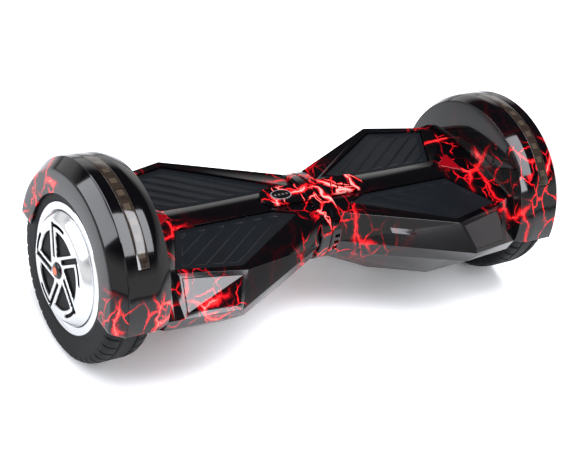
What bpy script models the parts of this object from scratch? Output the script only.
"""A self-balancing board: two hub-motor wheels under half-round fenders, and two foot decks that twist
against each other about a tube in the waist.

Lengths are in millimetres and turned to metres when a mesh is made. +X runs along the board to the right,
-Y is the front and +Z is up. The origin is on the ground under the middle of the waist. Heights named
"level" are measured from the axle. Shapes are described for the right half; side = -1 gives the left.
"""
import math

import bmesh
import bpy
from mathutils import Matrix, Vector

MM = 0.001
GAP = 0.3
SIDES = {"left": -1, "right": 1}
ENDS = {"front": -1, "rear": 1}

# Wheel
TYRE_RADIUS = 100.0
TYRE_WIDTH = 50.0
TREAD_GROOVE = 2.0
WHEEL_X = 268.5
RIM_RADIUS = 69.6
RIM_PROUD = 0.1
RIM_WALL = 5.6
RIM_LIP = 9.6
RIM_SHELF = 6.5
COVER_DISC_RADIUS = 51.5
COVER_CROWN = 9.4
COVER_WALL = 4.2
POCKET_COUNT = 5
POCKET_DEPTH = 2.4
CAP_RADIUS = 8.7
CAP_RISE = 3.0
STATOR_TEETH = 27
STATOR_SLOT_RADIUS = 49.0
AIR_GAP = 0.8
MAGNET_THICKNESS = 5.5
MAGNET_HALF_WIDTH = 17.0
STATOR_HALF_WIDTH = 11.0
AXLE_RADIUS = 6.0
BEARING_RADIUS = 13.8
BEARING_WIDTH = 7.0
BEARING_INNER_FACE = 12.3

# Fender, whose inner wall, seam and lip stand off the tyre
TYRE_CLEARANCE = 10.9
FENDER_THICKNESS = 3.0
FENDER_SHOULDER = 15.8
FENDER_WALL_DROP = 6.4
SEAM_INSIDE_TYRE = 10.4
LIP_BEYOND_TYRE = 3.5
LIP_DROP = 11.9
LIP_DEPTH = 24.0
LIP_THICKNESS = 2.4
STRIP_OFFSET = 25.0
STRIP_WIDTH = 13.7
STRIP_START = 35.0
STRIP_DEPTH = 1.6

# Deck and shells
SHELL_WALL = 2.5
DECK_LEVEL = 39.0
SPINE_LEVEL = 41.0
WAIST_X = 13.6
CORNER_X = 142.0
CORNER_Y = 97.0
WIDE_CORNER = (157.0, 122.6, 11.5)
END_HALF_WIDTH = 106.7
END_WIDE_LEVEL = 1.4
BELLY_LEVEL = -49.5
BELLY_HALF_WIDTH = 75.0
SHOULDER_LENGTH = 6.2
SHOULDER_LEVEL = 46.0
RAMP_LENGTH = 16.2
PAD_LEVEL = 37.0
PAD_THICKNESS = 3.0
PAD_GAP = 0.6
PAD_TRAVEL = 1.5
NIB_RADIUS = 4.0
NIBS = ((112.0, 34.0), (148.0, 34.0))

# Waist
PIVOT_LEVEL = 8.0
PIVOT_RADIUS = 12.0
PIVOT_WALL = 2.5
NECK_WALL = 5.0
NECK_LENGTH = 58.0
NECK_FLANGE = 7.0
COLLAR_HALF_WIDTH = 54.0
COLLAR_HALF_HEIGHT = 38.5
COLLAR_WALL = 3.0
COLLAR_POINTS = 36
SEAM_GAP = 0.4
TONGUE_END = 68.0
TONGUE_HALF_WIDTH = 14.0
TONGUE_RISE = (0.5, 3.3)
INDICATOR = (-42.0, 0.0)
INDICATOR_HALF = (13.0, 8.0)
TWIST_LIMIT = 15.0
PIN_RADIUS = 1.8

# Chassis and what it carries
PLATE_LEVEL = 16.0
PLATE_THICKNESS = 4.0
CLAMP_LENGTH = 38.0
CLAMP_HALF_WIDTH = 22.0
CLAMP_DEPTH = 12.0
BOARD_THICKNESS = 1.6
BATTERY_X = (74.0, 182.0)
BATTERY_HALF_WIDTH = 23.0
BATTERY_BOTTOM = -42.0
CONTROLLER_X = (78.0, 176.0)
CONTROLLER_HALF_WIDTH = 22.0
SPEAKER_X = -173.0

# Rear fittings: how far along, proud of the widest line and below it
PORT_PLACE = (198.0, 2.07, 10.0)
BUTTON_PLACE = (172.0, 0.1, 11.0)
PORT_BORE = 5.0
PORT_WALL = 1.3
BUTTON_RADIUS = 6.0
BOSS_WALL = 1.6
HINGE_OUT = 1.9

# Sizes that follow from those above
RIM_WIDTH = TYRE_WIDTH + 2 * RIM_PROUD
RIM_LIP_INNER = RIM_RADIUS - RIM_LIP
STATOR_RADIUS = RIM_RADIUS - RIM_WALL - GAP - MAGNET_THICKNESS - AIR_GAP
FENDER_RADIUS = TYRE_RADIUS + TYRE_CLEARANCE + FENDER_THICKNESS
FENDER_WALL_RADIUS = FENDER_RADIUS - FENDER_WALL_DROP
FENDER_LIP_RADIUS = FENDER_RADIUS - LIP_DROP
FENDER_LIP_INNER = FENDER_LIP_RADIUS - LIP_DEPTH
FENDER_WALL_X = WHEEL_X - TYRE_WIDTH / 2 - TYRE_CLEARANCE
FENDER_SHOULDER_X = FENDER_WALL_X + FENDER_SHOULDER
FENDER_SEAM_X = WHEEL_X + TYRE_WIDTH / 2 - SEAM_INSIDE_TYRE
FENDER_LIP_X = WHEEL_X + TYRE_WIDTH / 2 + LIP_BEYOND_TYRE
STRIP_X = (FENDER_WALL_X + STRIP_OFFSET, FENDER_WALL_X + STRIP_OFFSET + STRIP_WIDTH)
END_X = FENDER_WALL_X - SEAM_GAP
SHOULDER_X = END_X - SHOULDER_LENGTH
RAMP_X = END_X - RAMP_LENGTH
WIDE_END = (END_X, END_HALF_WIDTH, END_WIDE_LEVEL)
CLAMP_END = SHOULDER_X
CLAMP_START = CLAMP_END - CLAMP_LENGTH
NECK_RADIUS = PIVOT_RADIUS + NECK_WALL
NECK_FLANGE_RADIUS = NECK_RADIUS + NECK_FLANGE
PIN_ORBIT = NECK_RADIUS + PIN_RADIUS + 1.6
GYRO_BOTTOM = PLATE_LEVEL + PLATE_THICKNESS + GAP
GYRO_TOP = GYRO_BOTTOM + BOARD_THICKNESS
HINGE_RISE = PORT_BORE + PORT_WALL + 2.3
AXLE_Z = TYRE_RADIUS
PIN_Z = AXLE_Z + PIVOT_LEVEL + PIN_ORBIT
SEGMENTS = 40
SMALL_SEGMENTS = 24


def new_collection(name):
    """A collection under the scene's own, shown in renders."""
    group = bpy.data.collections.new(name)
    bpy.context.scene.collection.children.link(group)
    return group


def finish(name, red, green, blue, roughness, metallic=0.0):
    """A Principled material of one colour."""
    material = bpy.data.materials.new(name)
    material.use_nodes = True
    shader = material.node_tree.nodes["Principled BSDF"]
    shader.inputs["Base Color"].default_value = (red, green, blue, 1.0)
    shader.inputs["Roughness"].default_value = roughness
    shader.inputs["Metallic"].default_value = metallic
    return material


def put(name, mesh, material):
    """Puts a mesh in the parts collection under this name."""
    obj = bpy.data.objects.new(name, mesh)
    mesh.materials.clear()
    mesh.materials.append(material)
    PARTS.objects.link(obj)
    return obj


def cutter(mesh):
    """Puts a mesh with the cutters, drawn as wire and left out of renders."""
    obj = bpy.data.objects.new("cutter", mesh)
    obj.hide_render = True
    obj.display_type = "WIRE"
    CUTTERS.objects.link(obj)
    return obj


def combine(obj, mesh, operation="DIFFERENCE"):
    """Cuts a mesh out of an object, or joins it on."""
    modifier = obj.modifiers.new(operation.lower(), "BOOLEAN")
    modifier.operation = operation
    modifier.object = cutter(mesh)


def to_mesh(bm, name="shape"):
    """Writes a bmesh, whose points are in millimetres, as a mesh in metres with its faces outwards."""
    bmesh.ops.recalc_face_normals(bm, faces=bm.faces)
    bmesh.ops.scale(bm, vec=(MM, MM, MM), verts=bm.verts)
    mesh = bpy.data.meshes.new(name)
    bm.to_mesh(mesh)
    bm.free()
    return mesh


def box(low, high):
    """A box between two corners."""
    bm = bmesh.new()
    bmesh.ops.create_cube(bm, size=1.0)
    size = [b - a for a, b in zip(low, high)]
    middle = [(a + b) / 2 for a, b in zip(low, high)]
    bmesh.ops.scale(bm, vec=size, verts=bm.verts)
    bmesh.ops.translate(bm, vec=middle, verts=bm.verts)
    return to_mesh(bm)


def rod(start, end, radius, segments=SMALL_SEGMENTS, hole=False):
    """A cylinder between two points. A hole's flats, not its corners, lie at the radius."""
    start, end = Vector(start), Vector(end)
    if hole:
        radius /= math.cos(math.pi / segments)
    bm = bmesh.new()
    bmesh.ops.create_cone(bm, cap_ends=True, segments=segments, radius1=radius, radius2=radius,
                          depth=(end - start).length)
    turn = (end - start).to_track_quat("Z", "Y").to_matrix().to_4x4()
    bmesh.ops.transform(bm, matrix=Matrix.Translation((start + end) / 2) @ turn, verts=bm.verts)
    return to_mesh(bm)


def slab(outline, low, high, holes=()):
    """A flat outline, with holes, filled and extruded from one height to another."""
    curve = bpy.data.curves.new("outline", "CURVE")
    curve.dimensions = "2D"
    curve.fill_mode = "BOTH"
    curve.extrude = (high - low) / 2 * MM
    for points in (outline, *holes):
        spline = curve.splines.new("POLY")
        spline.points.add(len(points) - 1)
        spline.use_cyclic_u = True
        for point, (x, y) in zip(spline.points, points):
            point.co = (x * MM, y * MM, 0.0, 1.0)
    guide = bpy.data.objects.new("outline", curve)
    CUTTERS.objects.link(guide)
    bpy.context.view_layer.update()
    mesh = bpy.data.meshes.new_from_object(guide.evaluated_get(bpy.context.evaluated_depsgraph_get()))
    bpy.data.objects.remove(guide)
    bm = bmesh.new()
    bm.from_mesh(mesh)
    bmesh.ops.remove_doubles(bm, verts=bm.verts, dist=1e-6)
    bmesh.ops.translate(bm, vec=(0, 0, (low + high) / 2 * MM), verts=bm.verts)
    bmesh.ops.recalc_face_normals(bm, faces=bm.faces)
    bm.to_mesh(mesh)
    bm.free()
    return mesh


def turned(name, profile, material, place, direction, segments=SEGMENTS, closed=True):
    """A profile of (radius, height) turned about its axis, which then points along direction from place.

    A closed profile runs down its outer side. An open one starts and ends on the axis.
    """
    mesh = bpy.data.meshes.new(name)
    points = [(radius * MM, 0.0, height * MM) for radius, height in profile]
    edges = [(i, i + 1) for i in range(len(points) - 1)]
    if closed:
        edges.append((len(points) - 1, 0))
    mesh.from_pydata(points, edges, [])
    obj = put(name, mesh, material)
    screw = obj.modifiers.new("turn", "SCREW")
    screw.axis = "Z"
    screw.angle = math.tau
    screw.steps = segments
    screw.render_steps = segments
    screw.use_merge_vertices = True
    screw.merge_threshold = 0.00001
    screw.use_smooth_shade = True
    obj.location = [value * MM for value in place]
    obj.rotation_euler = Vector(direction).to_track_quat("Z", "Y").to_euler()
    return obj


def arc(section, start, sweep, steps, side=1, centre_level=0.0):
    """A closed section of (x, radius) carried round the X axis from the start angle, counted from the front."""
    bm = bmesh.new()
    first = math.radians(180.0 - start)
    corners = []
    for x, radius in section:
        place = (side * x, radius * math.cos(first), radius * math.sin(first) + AXLE_Z + centre_level)
        corners.append(bm.verts.new(place))
    face = bm.faces.new(corners)
    bmesh.ops.spin(bm, geom=[face], cent=(0, 0, AXLE_Z + centre_level), axis=(1, 0, 0),
                   angle=-math.radians(sweep), steps=steps)
    return to_mesh(bm)


def loft(rings, side=1, closed=True, caps=(False, False)):
    """Quads between rows of (x, y, level) points; closed rows join end to end, and a cap fills an end row."""
    bm = bmesh.new()
    rows = [[bm.verts.new((side * x, y, level + AXLE_Z)) for x, y, level in ring] for ring in rings]
    for lower, upper in zip(rows, rows[1:]):
        count = len(lower)
        for i in range(count if closed else count - 1):
            j = (i + 1) % count
            bm.faces.new((lower[i], lower[j], upper[j], upper[i]))
    for wanted, row in zip(caps, (rows[0], rows[-1])):
        if wanted:
            bm.faces.new(row)
    return to_mesh(bm)


def shell_of(name, rings, side, material, outward, caps=(False, False)):
    """An open lofted surface given its wall on the inner side. Outward is a point well outside it."""
    mesh = loft(rings, side, closed=False, caps=caps)
    if sum(face.area * face.normal.dot(Vector(outward)) for face in mesh.polygons) < 0:
        mesh.flip_normals()
    obj = put(name, mesh, material)
    wall = obj.modifiers.new("wall", "SOLIDIFY")
    wall.thickness = SHELL_WALL * MM
    wall.offset = -1.0
    wall.use_even_offset = True
    return obj


def between(a, b, x):
    """The point at x on the line through two (x, y, level) points."""
    share = (x - a[0]) / (b[0] - a[0])
    return tuple(p + share * (q - p) for p, q in zip(a, b))


def mirrored(points):
    """A row from front to rear, from the rear half of it listed from the middle outwards."""
    front = [(x, -y, level) for x, y, level in reversed(points)]
    return front + list(points)


def hull_line(x):
    """The widest line of the shells at x, where the top and bottom shells meet."""
    waist = (WAIST_X, 52.5, PIVOT_LEVEL)
    if x <= WIDE_CORNER[0]:
        return between(waist, WIDE_CORNER, x)
    return between(WIDE_CORNER, WIDE_END, x)


def parting(side, far, shift):
    """A solid from the shells' parting line, moved by shift, to a level far above or below it."""
    rings = []
    for x in (WAIST_X - 5, WIDE_CORNER[0], END_X + 5):
        level = hull_line(x)[2] + shift
        rings.append([(x, -150, level), (x, 150, level), (x, 150, far), (x, -150, far)])
    return loft(rings, side, caps=(True, True))


RIM_WAIST = (WAIST_X, 40.0, DECK_LEVEL - 0.5)
RIM_CORNER = (CORNER_X, CORNER_Y, DECK_LEVEL)
RIM_RAMP = (RAMP_X, 80.7, DECK_LEVEL)
RIM_SHOULDER = (SHOULDER_X, 78.5, SHOULDER_LEVEL - 2.5)
RIM_END = (END_X, 77.2, SHOULDER_LEVEL - 2.5)


def top_rows():
    """The top shell's rows at the waist, the corner, the foot and top of the ramp, and the fender."""
    return [
        mirrored([(WAIST_X, 12, SPINE_LEVEL), (WAIST_X, 16, DECK_LEVEL), RIM_WAIST, hull_line(WAIST_X)]),
        mirrored([(CORNER_X, 10, SPINE_LEVEL), (CORNER_X, 14, DECK_LEVEL), RIM_CORNER, WIDE_CORNER]),
        mirrored([(RAMP_X - 36, 5, SPINE_LEVEL), (RAMP_X - 31, 15, DECK_LEVEL), RIM_RAMP, hull_line(RAMP_X)]),
        mirrored([(SHOULDER_X, 22, SHOULDER_LEVEL), (SHOULDER_X, 50, SHOULDER_LEVEL - 0.5), RIM_SHOULDER,
                  hull_line(SHOULDER_X)]),
        mirrored([(END_X, 22, SHOULDER_LEVEL), (END_X, 50, SHOULDER_LEVEL - 0.5), RIM_END, hull_line(END_X)]),
    ]


def bottom_rows():
    """The bottom shell's rows, from the parting line round the belly."""
    return [
        mirrored([(WAIST_X, 28, -29.5), (WAIST_X, 48, -10), hull_line(WAIST_X)]),
        mirrored([(70, 48, -46), (70, 77.5, -6.6), hull_line(70)]),
        mirrored([(140, BELLY_HALF_WIDTH, BELLY_LEVEL), (150, 117.6, -2.4), WIDE_CORNER]),
        mirrored([(RAMP_X - 10, 70, BELLY_LEVEL), (RAMP_X - 2, 104.4, -12.9), hull_line(RAMP_X - 2)]),
        mirrored([(END_X, 58, -40), (END_X, 100.6, -15.9), hull_line(END_X)]),
    ]


def pad_outline(end, grow=0.0):
    """The foot pad's outline in plan, and with grow its opening: parallel sides moved out by that much."""
    far = RAMP_X - 1.5
    plan = ((62, 16), (far - 31.5, 16), (far, 74.5), (CORNER_X + 1, CORNER_Y - 8.5), (36, 27))
    corners = [Vector(corner) for corner in plan]
    moved = []
    for i, corner in enumerate(corners):
        ahead = (corners[(i + 1) % len(corners)] - corner).normalized()
        behind = (corner - corners[i - 1]).normalized()
        out_ahead = Vector((ahead.y, -ahead.x))
        out_behind = Vector((behind.y, -behind.x))
        shift = (out_ahead + out_behind) * grow / (1.0 + out_ahead.dot(out_behind))
        moved.append(corner + shift)
    return [(point.x, end * point.y) for point in moved]


def flipped(outline, side):
    """An outline in plan, mirrored to its side."""
    return [(side * x, y) for x, y in outline]


def circle(x, y, radius, count=32):
    """Points round a circle in plan."""
    steps = [math.tau * i / count for i in range(count)]
    return [(x + radius * math.cos(a), y + radius * math.sin(a)) for a in steps]


def lifted(low, high):
    """Two heights above the axle as heights above the ground."""
    return low + AXLE_Z, high + AXLE_Z


def lamp_prism(side, grow, below, above):
    """The front lamp's outline on the panel between the deck's rim and the widest line, as a solid."""
    quad = [RIM_CORNER, RIM_RAMP, hull_line(RAMP_X), WIDE_CORNER]
    a, b, c, d = [Vector((x, -y, level)) for x, y, level in quad]
    normal = (c - a).cross(d - b).normalized()
    if normal.y > 0:
        normal.negate()
    margin = 0.06 - grow / 75.0
    rise = 0.12 - grow / 40.0
    shares = [(margin, rise), (1 - margin, rise), (1 - margin, 1 - rise), (margin, 1 - rise)]
    rings = []
    for height in (below, above):
        ring = []
        for u, v in shares:
            point = a.lerp(b, u).lerp(d.lerp(c, u), v) + normal * height
            ring.append(tuple(point))
        rings.append(ring)
    return loft(rings, side, caps=(True, True))


def collar_ring(x, inset):
    """One closed ring of the waist collar, a rounded oblong."""
    ring = []
    for i in range(COLLAR_POINTS):
        angle = math.tau * i / COLLAR_POINTS
        c, s = math.cos(angle), math.sin(angle)
        y = (COLLAR_HALF_WIDTH - inset) * math.copysign(abs(c) ** 0.8, c)
        level = PIVOT_LEVEL + (COLLAR_HALF_HEIGHT - inset) * math.copysign(abs(s) ** 0.8, s)
        ring.append((x, y, level))
    return ring


def tongue_outline(side):
    """The tongue in plan, straight from the collar and round at its tip."""
    tip = TONGUE_END - TONGUE_HALF_WIDTH
    turn = [math.radians(-90 + 180 * i / 16) for i in range(17)]
    end = [(tip + TONGUE_HALF_WIDTH * math.cos(a), TONGUE_HALF_WIDTH * math.sin(a)) for a in turn]
    start = SEAM_GAP + 2.0
    return flipped([(start, -TONGUE_HALF_WIDTH), *end, (start, TONGUE_HALF_WIDTH)], side)


def oval(x, y, half_length, half_width, count=32):
    """Points round an ellipse in plan."""
    steps = [math.tau * i / count for i in range(count)]
    return [(x + half_length * math.cos(a), y + half_width * math.sin(a)) for a in steps]


def spine_lamp_outline(side, grow=0.0):
    """The spine lamp in plan, a blunt triangle with its tip towards the waist."""
    tip, base = RAMP_X - 31 - grow, RAMP_X - 8 + grow
    narrow, wide = 2.5 + grow, 17 + 1.5 * grow
    return flipped([(tip, -narrow), (base, -wide), (base, wide), (tip, narrow)], side)


def make_wheel(word, side):
    """The wheel's turning pieces, from the tyre to the hub cap, and the bearings they turn on."""
    place = (side * WHEEL_X, 0, AXLE_Z)
    out = (side, 0, 0)
    half = TYRE_WIDTH / 2
    tread = [(TYRE_RADIUS, half - 8.5), (TYRE_RADIUS, 4), (TYRE_RADIUS - TREAD_GROOVE, 3)]
    wall = [(RIM_RADIUS + GAP, half - 1), (TYRE_RADIUS - 18, half), (TYRE_RADIUS - 7, half - 0.8),
            (TYRE_RADIUS - 2.5, half - 3.4)]
    upper = wall + tread
    tyre = upper + [(radius, -h) for radius, h in reversed(upper)]
    turned(f"{word}_tyre", tyre, RUBBER, place, out)

    face = RIM_WIDTH / 2
    barrel = RIM_RADIUS - RIM_WALL
    shelf = face - RIM_SHELF
    rim = [(RIM_LIP_INNER, face), (RIM_RADIUS, face), (RIM_RADIUS, -face + 0.7), (barrel, -face + 0.7),
           (barrel, shelf), (RIM_LIP_INNER, shelf)]
    turned(f"{word}_rim", rim, ALLOY, place, out)

    edge = RIM_LIP_INNER - GAP
    crown = face + COVER_CROWN
    back = crown - COVER_WALL
    seat = BEARING_INNER_FACE + BEARING_WIDTH + GAP
    cap_floor = crown - 4.4
    bearing_wall = BEARING_RADIUS + 4.0
    cover = [(0, cap_floor), (CAP_RADIUS + GAP, cap_floor), (CAP_RADIUS + GAP, crown),
             (COVER_DISC_RADIUS, crown), (edge, face), (edge, face - COVER_WALL),
             (COVER_DISC_RADIUS - 1.5, back), (bearing_wall, back), (bearing_wall, BEARING_INNER_FACE - GAP),
             (BEARING_RADIUS + 0.1, BEARING_INNER_FACE - GAP), (BEARING_RADIUS + 0.1, seat), (10, seat),
             (10, cap_floor - 3), (0, cap_floor - 3)]
    hub = turned(f"{word}_hub_cover", cover, WHITE_ALLOY, place, out, closed=False)
    for i in range(POCKET_COUNT):
        middle = math.tau * i / POCKET_COUNT + math.radians(90)
        spread = math.radians(23)
        ring = []
        for radius, share in ((21, 0.45), (45, 0.8), (45, 0.0), (45, -0.8), (21, -0.45)):
            angle = middle + share * spread + (radius - 21) * math.radians(0.5)
            ring.append((radius * math.cos(angle), radius * math.sin(angle)))
        depth = (side * (WHEEL_X + crown - POCKET_DEPTH), side * (WHEEL_X + crown + 3))
        rows = [[(x, y, z) for y, z in ring] for x in depth]
        combine(hub, loft(rows, 1, caps=(True, True)))

    top = crown + CAP_RISE
    cap = [(0, top), (CAP_RADIUS * 0.55, top - 0.4), (CAP_RADIUS * 0.85, top - 1.5), (CAP_RADIUS, top - 2.6),
           (CAP_RADIUS, cap_floor + GAP), (0, cap_floor + GAP)]
    turned(f"{word}_hub_cap", cap, BLACK_GLOSS, place, out, segments=SMALL_SEGMENTS, closed=False)

    inner = -face + 0.7
    outer_edge = barrel - GAP
    plate = [(outer_edge, inner + 3), (outer_edge, inner), (9, inner), (9, -seat),
             (BEARING_RADIUS + 0.1, -seat), (BEARING_RADIUS + 0.1, -BEARING_INNER_FACE + GAP),
             (bearing_wall, -BEARING_INNER_FACE + GAP),
             (bearing_wall, inner + 3)]
    turned(f"{word}_motor_cover", plate, ALLOY, place, out)

    outer_face, inner_face = barrel - GAP, STATOR_RADIUS + AIR_GAP
    magnets = [(outer_face, MAGNET_HALF_WIDTH), (outer_face, -MAGNET_HALF_WIDTH),
               (inner_face, -MAGNET_HALF_WIDTH), (inner_face, MAGNET_HALF_WIDTH)]
    turned(f"{word}_magnet_ring", magnets, STEEL, place, out)

    for where, sign in (("outer", 1), ("inner", -1)):
        low, high = sorted((sign * BEARING_INNER_FACE, sign * (BEARING_INNER_FACE + BEARING_WIDTH)))
        inner = AXLE_RADIUS + 0.1
        bearing = [(BEARING_RADIUS, high), (BEARING_RADIUS, low), (inner, low), (inner, high)]
        turned(f"{word}_{where}_bearing", bearing, STEEL, place, out, segments=SMALL_SEGMENTS)


def make_motor_core(word, side):
    """The fixed core of the hub motor: the toothed stator and the axle that carries the board."""
    outline = []
    for i in range(STATOR_TEETH):
        for share, radius in ((-0.36, STATOR_RADIUS), (0.36, STATOR_RADIUS), (0.4, STATOR_SLOT_RADIUS),
                              (0.6, STATOR_SLOT_RADIUS)):
            angle = math.tau * (i + share) / STATOR_TEETH
            outline.append((radius * math.cos(angle), radius * math.sin(angle)))
    bore = circle(0, 0, AXLE_RADIUS + 2 + GAP)
    mesh = slab(outline, -STATOR_HALF_WIDTH, STATOR_HALF_WIDTH, holes=(bore,))
    stator = put(f"{word}_stator", mesh, COPPER)
    stator.rotation_euler = (0, math.radians(90), 0)
    stator.location = (side * WHEEL_X * MM, 0, AXLE_Z * MM)

    reach = WHEEL_X - CLAMP_START - 1
    outer = BEARING_INNER_FACE + BEARING_WIDTH
    shoulder = BEARING_INNER_FACE - GAP
    profile = [(0, outer), (AXLE_RADIUS, outer), (AXLE_RADIUS, shoulder), (AXLE_RADIUS + 2, shoulder),
               (AXLE_RADIUS + 2, -shoulder), (AXLE_RADIUS, -shoulder), (AXLE_RADIUS, -reach), (0, -reach)]
    turned(f"{word}_axle", profile, STEEL, (side * WHEEL_X, 0, AXLE_Z), (side, 0, 0),
           segments=SMALL_SEGMENTS, closed=False)


def make_fender(word, side):
    """The half-round fender with its inner wall, the lip that closes its outer edge, and the light strip."""
    wall = FENDER_THICKNESS
    inner_radius = FENDER_RADIUS - wall
    section = [(FENDER_WALL_X, AXLE_RADIUS + 6), (FENDER_WALL_X, FENDER_WALL_RADIUS),
               (FENDER_SHOULDER_X, FENDER_RADIUS - 0.4), (FENDER_SEAM_X, FENDER_RADIUS),
               (FENDER_SEAM_X, inner_radius), (FENDER_SHOULDER_X + 0.8, inner_radius - 0.4),
               (FENDER_WALL_X + wall, FENDER_WALL_RADIUS - 2.1), (FENDER_WALL_X + wall, AXLE_RADIUS + 6)]
    fender = put(f"{word}_fender", arc(section, 0, 180, 32, side), BLACK_GLOSS)
    start, finish_x = STRIP_X
    bed = FENDER_RADIUS - STRIP_DEPTH
    groove = [(start, bed), (finish_x, bed), (finish_x, FENDER_RADIUS + 5), (start, FENDER_RADIUS + 5)]
    combine(fender, arc(groove, STRIP_START, 180 - 2 * STRIP_START, 24, side))
    low, high = bed + 0.2, FENDER_RADIUS + 0.1
    strip = [(start + GAP, low), (finish_x - GAP, low), (finish_x - GAP, high), (start + GAP, high)]
    mesh = arc(strip, STRIP_START + 0.3, 180 - 2 * STRIP_START - 0.6, 24, side)
    put(f"{word}_light_strip", mesh, SMOKE)

    seam = FENDER_SEAM_X + GAP
    face = FENDER_LIP_X - LIP_THICKNESS
    tongue = inner_radius - GAP
    lip = [(seam, FENDER_RADIUS), (FENDER_LIP_X, FENDER_LIP_RADIUS), (FENDER_LIP_X, FENDER_LIP_INNER),
           (face, FENDER_LIP_INNER), (face, FENDER_LIP_RADIUS - 1.2), (seam + 1, tongue - LIP_THICKNESS + 0.6),
           (seam - 6, tongue - LIP_THICKNESS), (seam - 6, tongue - 0.3), (seam, tongue - 0.1)]
    put(f"{word}_fender_lip", arc(lip, 0, 180, 32, side), BLACK_GLOSS)


def make_shells(word, side):
    """The top shell with its openings for pads and lamps, and the bottom shell."""
    top = shell_of(f"{word}_top_shell", top_rows(), side, BLACK_GLOSS, (0, 0, 1))
    combine(top, parting(side, -80, 0.0))
    for end in ENDS.values():
        opening = flipped(pad_outline(end, PAD_GAP), side)
        combine(top, slab(opening, *lifted(DECK_LEVEL - 12, DECK_LEVEL + 12)))
    combine(top, lamp_prism(side, GAP, -8, 8))
    combine(top, slab(spine_lamp_outline(side, GAP), *lifted(30, 60)))

    bottom = shell_of(f"{word}_bottom_shell", bottom_rows(), side, BLACK_GLOSS, (0, 0, -1), caps=(False, True))
    combine(bottom, parting(side, 80, -GAP))
    combine(bottom, rod((side * (END_X - 12), 0, AXLE_Z), (side * (END_X + 5), 0, AXLE_Z), AXLE_RADIUS + 4,
                        hole=True))
    return bottom


def make_lamps(word, side):
    """The front lamp lens, flush in its panel, and the small lamp where the spine meets the fender."""
    put(f"{word}_front_lamp", lamp_prism(side, 0.0, -SHELL_WALL, 0.2), SMOKE)
    mesh = slab(spine_lamp_outline(side), *lifted(38.5, SHOULDER_LEVEL - 1.0))
    put(f"{word}_spine_lamp", mesh, RED_LENS)


def make_pads(word, side):
    """The two foot pads, each with two nibs on its underside that press the switches."""
    for end_word, end in ENDS.items():
        outline = flipped(pad_outline(end), side)
        mat = slab(outline, *lifted(PAD_LEVEL - PAD_THICKNESS, PAD_LEVEL))
        pad = put(f"{word}_{end_word}_pad", mat, PAD_RUBBER)
        for x, y in NIBS:
            nib = rod((side * x, end * y, AXLE_Z + GYRO_TOP + PAD_TRAVEL + GAP),
                      (side * x, end * y, AXLE_Z + PAD_LEVEL - 1), NIB_RADIUS, 16)
            combine(pad, nib, "UNION")


def make_chassis(word, side):
    """The cast chassis, from plate and neck to the lower half of the axle seat, and the axle's clamp."""
    outline = [(24, -30), (140, -84), (CLAMP_END, -66), (CLAMP_END, 66), (140, 84), (24, 30)]
    windows = [circle(70, end * 30, 7, 16) for end in ENDS.values()]
    windows += [circle(176, end * 46, 14, 24) for end in ENDS.values()]
    plate = slab(flipped(outline, side), *lifted(PLATE_LEVEL, PLATE_LEVEL + PLATE_THICKNESS),
                 holes=[flipped(hole, side) for hole in windows])
    chassis = put(f"{word}_chassis", plate, CAST)
    axis_z = AXLE_Z + PIVOT_LEVEL

    def along(start, end, radius, segments=32, hole=False):
        return rod((side * start, 0, axis_z), (side * end, 0, axis_z), radius, segments, hole)

    combine(chassis, along(6, NECK_LENGTH, NECK_RADIUS), "UNION")
    combine(chassis, along(1.6, 7, NECK_FLANGE_RADIUS), "UNION")
    block = box((side * CLAMP_START, -CLAMP_HALF_WIDTH, AXLE_Z + 0.4),
                (side * CLAMP_END, CLAMP_HALF_WIDTH, AXLE_Z + PLATE_LEVEL + 1))
    combine(chassis, block, "UNION")
    for x in (84.0, 166.0):
        top = AXLE_Z + SPINE_LEVEL - SHELL_WALL - 0.4
        post = rod((side * x, 0, AXLE_Z + PLATE_LEVEL), (side * x, 0, top), 5, 16)
        combine(chassis, post, "UNION")
    for end in ENDS.values():
        rib = box((side * 40, end * 26 - 2, AXLE_Z + 4), (side * 190, end * 26 + 2, AXLE_Z + PLATE_LEVEL + 1))
        combine(chassis, rib, "UNION")
    bore = PIVOT_RADIUS + (0.15 if side < 0 else 2.2)
    combine(chassis, along(-1, NECK_LENGTH + 2, bore, 32, hole=True))
    combine(chassis, along(NECK_LENGTH - 1, NECK_LENGTH + 8, NECK_RADIUS - 1.2, 32))
    seat = ((side * (CLAMP_START - 5), 0, AXLE_Z), (side * (CLAMP_END + 5), 0, AXLE_Z), AXLE_RADIUS + 0.2)
    combine(chassis, rod(*seat, hole=True))
    if side < 0:
        combine(chassis, rod((side * -1, 0, PIN_Z), (side * 9, 0, PIN_Z), PIN_RADIUS + 0.1, 16, hole=True))
    else:
        reach = TWIST_LIMIT + math.degrees((PIN_RADIUS + 0.25) / PIN_ORBIT)
        low, high = PIN_ORBIT - PIN_RADIUS - 0.3, PIN_ORBIT + PIN_RADIUS + 0.3
        section = [(-1, low), (9, low), (9, high), (-1, high)]
        combine(chassis, arc(section, 90 - reach, 2 * reach, 12, 1, PIVOT_LEVEL))

    clamp = put(f"{word}_axle_clamp",
                box((side * CLAMP_START, -CLAMP_HALF_WIDTH, AXLE_Z - CLAMP_DEPTH),
                    (side * CLAMP_END, CLAMP_HALF_WIDTH, AXLE_Z)), STEEL)
    combine(clamp, rod(*seat, hole=True))


def make_gyro_board(word, side):
    """The balance circuit board on the chassis plate, with its raised sensor block."""
    outline = [(100, -42), (160, -42), (160, -10), (160, 42), (100, 42)]
    hole = circle(130, 0, 6, 16)
    mesh = slab(flipped(outline, side), *lifted(GYRO_BOTTOM, GYRO_TOP), holes=(flipped(hole, side),))
    board = put(f"{word}_gyro_board", mesh, CIRCUIT)
    chip = box((side * 122, -32, AXLE_Z + GYRO_TOP - 1), (side * 136, -18, AXLE_Z + GYRO_TOP + 3))
    combine(board, chip, "UNION")


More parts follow.
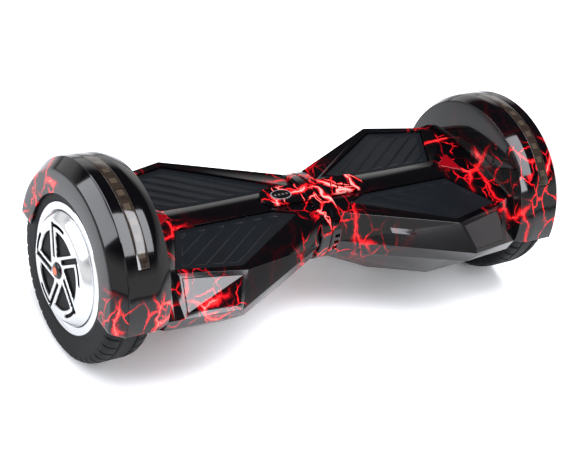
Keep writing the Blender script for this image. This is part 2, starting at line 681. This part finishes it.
def make_waist(word, side):
    """The waist cover: a collar round the joint, and a tongue over the spine."""
    near, far = SEAM_GAP, WAIST_X - GAP
    rings = [collar_ring(near, 1.2), collar_ring(near + 1.5, 0.0), collar_ring(far - 1.5, 0.0),
             collar_ring(far, 1.2), collar_ring(far, COLLAR_WALL + 1.2), collar_ring(near, COLLAR_WALL + 1.2)]
    rings.append(rings[0])
    bm = bmesh.new()
    bm.from_mesh(loft(rings, side))
    bmesh.ops.remove_doubles(bm, verts=bm.verts, dist=1e-6)
    bmesh.ops.recalc_face_normals(bm, faces=bm.faces)
    mesh = bpy.data.meshes.new("collar")
    bm.to_mesh(mesh)
    bm.free()
    cover = put(f"{word}_waist_cover", mesh, BLACK_GLOSS)
    low, high = (SPINE_LEVEL + rise for rise in TONGUE_RISE)
    combine(cover, slab(tongue_outline(side), *lifted(low, high)), "UNION")
    if side < 0:
        half_length, half_width = INDICATOR_HALF
        window = oval(*INDICATOR, half_length + GAP, half_width + GAP)
        combine(cover, slab(window, *lifted(low - 5, high + 5)))
        lens = slab(oval(*INDICATOR, half_length, half_width), *lifted(low, high + 0.8))
        put("battery_indicator", lens, SMOKE)
        return
    for i in range(4):
        x = 26 + 8.5 * i
        slot = [(x - 5, -8), (x - 3.2, -8), (x + 5, 8), (x + 3.2, 8)]
        combine(cover, slab(slot, *lifted(low - 5, high + 5)))
    for i in range(3):
        level = PIVOT_LEVEL - 9 + 8 * i
        combine(cover, box((4, -80, AXLE_Z + level), (10.5, -40, AXLE_Z + level + 4)))


def make_pivot():
    """The tube that the halves twist on, its bush and circlip, and the pin that limits the twist."""
    place = (0, 0, AXLE_Z + PIVOT_LEVEL)
    start, end = -NECK_LENGTH, NECK_LENGTH + 4.5
    bore = PIVOT_RADIUS - PIVOT_WALL
    groove_low, groove_high = NECK_LENGTH + 0.6, NECK_LENGTH + 2.6
    tube = [(PIVOT_RADIUS, end), (PIVOT_RADIUS, groove_high), (PIVOT_RADIUS - 1, groove_high),
            (PIVOT_RADIUS - 1, groove_low), (PIVOT_RADIUS, groove_low), (PIVOT_RADIUS, start), (bore, start),
            (bore, end)]
    turned("pivot_tube", tube, STEEL, place, (1, 0, 0), segments=32)
    ring = [(PIVOT_RADIUS + 2.1, NECK_LENGTH), (PIVOT_RADIUS + 2.1, 1.7), (PIVOT_RADIUS + 0.06, 1.7),
            (PIVOT_RADIUS + 0.06, NECK_LENGTH)]
    turned("pivot_bush", ring, BRONZE, place, (1, 0, 0), segments=32)
    clip = [(groove_low + 0.2, PIVOT_RADIUS - 0.8), (groove_high - 0.2, PIVOT_RADIUS - 0.8),
            (groove_high - 0.2, PIVOT_RADIUS + 3), (groove_low + 0.2, PIVOT_RADIUS + 3)]
    put("pivot_circlip", arc(clip, 0, 310, 28, 1, PIVOT_LEVEL), STEEL)
    put("twist_limit_pin", rod((-8, 0, PIN_Z), (6.5, 0, PIN_Z), PIN_RADIUS, 16), STEEL)


def make_electrics():
    """The battery under the right deck, the control board and speaker under the left."""
    start, end = BATTERY_X
    half = BATTERY_HALF_WIDTH
    sleeve = box((start, -half, AXLE_Z + BATTERY_BOTTOM), (end, half, AXLE_Z + PLATE_LEVEL - 1))
    put("battery_pack", sleeve, BATTERY)
    start, end = CONTROLLER_X
    half = CONTROLLER_HALF_WIDTH
    board = put("control_board", box((-end, -half, AXLE_Z - 16), (-start, half, AXLE_Z - 14)), CIRCUIT)
    heat_sink = box((-end + 16, -half + 4, AXLE_Z - 15), (-start - 18, half - 4, AXLE_Z + PLATE_LEVEL - GAP))
    combine(board, heat_sink, "UNION")
    speaker = [(0, 12), (10, 12), (12, 8), (20, 1), (20, 0), (0, 0)]
    place = (SPEAKER_X, 0, AXLE_Z + BELLY_LEVEL + SHELL_WALL + 0.6)
    turned("speaker", speaker, BLACK_GLOSS, place, (0, 0, 1), segments=SMALL_SEGMENTS, closed=False)


def on_rear(place):
    """A point over the rear: x along, proud of the shells' widest line, and below it."""
    x, proud, below = place
    widest = hull_line(x)
    return x, widest[1] + proud, widest[2] - below


def boss(shell, position, radius):
    """A round boss on the bottom shell, facing the rear, with a hole through it and the shell."""
    x, y, level = position
    z = AXLE_Z + level
    combine(shell, rod((x, y - 16, z), (x, y, z), radius + BOSS_WALL), "UNION")
    combine(shell, rod((x, y - 40, z), (x, y + 5, z), radius + GAP, hole=True))


def make_rear_fittings(shell):
    """The power button and the charge port with its hinged cap, each in a boss on the right bottom shell."""
    x, y, level = on_rear(PORT_PLACE)
    body = PORT_BORE + PORT_WALL
    boss(shell, (x, y, level), body)
    profile = [(0, -11), (PORT_BORE, -11), (PORT_BORE, 0), (body, 0), (body, -14), (0, -14)]
    place = (x, y, AXLE_Z + level)
    turned("charge_port", profile, BLACK_MATT, place, (0, 1, 0), segments=SMALL_SEGMENTS, closed=False)
    flap = slab(circle(0, 0, body + 1.6, 32), GAP, 2.0)
    cap = put("charge_cap", flap, BLACK_MATT)
    cap.data.transform(Matrix.Rotation(math.radians(-90), 4, "X"))
    cap.data.transform(Matrix.Translation((0, 0, -HINGE_RISE * MM)))
    cap.location = (x * MM, (y + HINGE_OUT) * MM, (AXLE_Z + level + HINGE_RISE) * MM)
    cap.data.transform(Matrix.Translation((0, -HINGE_OUT * MM, 0)))
    combine(cap, rod((x - 3, y + HINGE_OUT, AXLE_Z + level + HINGE_RISE),
                     (x + 3, y + HINGE_OUT, AXLE_Z + level + HINGE_RISE), 1.4, 16), "UNION")

    x, y, level = on_rear(BUTTON_PLACE)
    boss(shell, (x, y, level), BUTTON_RADIUS)
    knob = [(0, 1.8), (BUTTON_RADIUS - 2, 1.6), (BUTTON_RADIUS - 0.1, 0.8), (BUTTON_RADIUS - 0.1, -8), (0, -8)]
    place = (x, y, AXLE_Z + level)
    turned("power_button", knob, BLACK_MATT, place, (0, 1, 0), segments=SMALL_SEGMENTS, closed=False)


for old in list(bpy.data.objects):
    bpy.data.objects.remove(old, do_unlink=True)

PARTS = new_collection("hoverboard")
CUTTERS = new_collection("cutters")

BLACK_GLOSS = finish("black_gloss_abs", 0.012, 0.012, 0.014, 0.12)
BLACK_MATT = finish("black_matt_plastic", 0.02, 0.02, 0.022, 0.5)
RUBBER = finish("tyre_rubber", 0.018, 0.018, 0.018, 0.75)
PAD_RUBBER = finish("pad_rubber", 0.03, 0.03, 0.034, 0.45)
ALLOY = finish("rim_alloy", 0.75, 0.75, 0.76, 0.25, 1.0)
WHITE_ALLOY = finish("hub_alloy", 0.8, 0.8, 0.81, 0.3, 1.0)
CAST = finish("cast_aluminium", 0.5, 0.5, 0.51, 0.5, 1.0)
STEEL = finish("steel", 0.42, 0.42, 0.43, 0.35, 1.0)
COPPER = finish("wound_copper", 0.55, 0.25, 0.12, 0.45, 1.0)
BRONZE = finish("sintered_bronze", 0.45, 0.3, 0.14, 0.4, 1.0)
SMOKE = finish("smoked_lens", 0.09, 0.06, 0.05, 0.1)
RED_LENS = finish("red_lens", 0.5, 0.01, 0.01, 0.1)
CIRCUIT = finish("circuit_board", 0.02, 0.16, 0.07, 0.5)
BATTERY = finish("battery_sleeve", 0.02, 0.08, 0.3, 0.4)

for half, sign in SIDES.items():
    make_wheel(half, sign)
    make_motor_core(half, sign)
    make_fender(half, sign)
    lower = make_shells(half, sign)
    make_lamps(half, sign)
    make_pads(half, sign)
    make_chassis(half, sign)
    make_gyro_board(half, sign)
    make_waist(half, sign)
make_pivot()
make_electrics()
make_rear_fittings(lower)
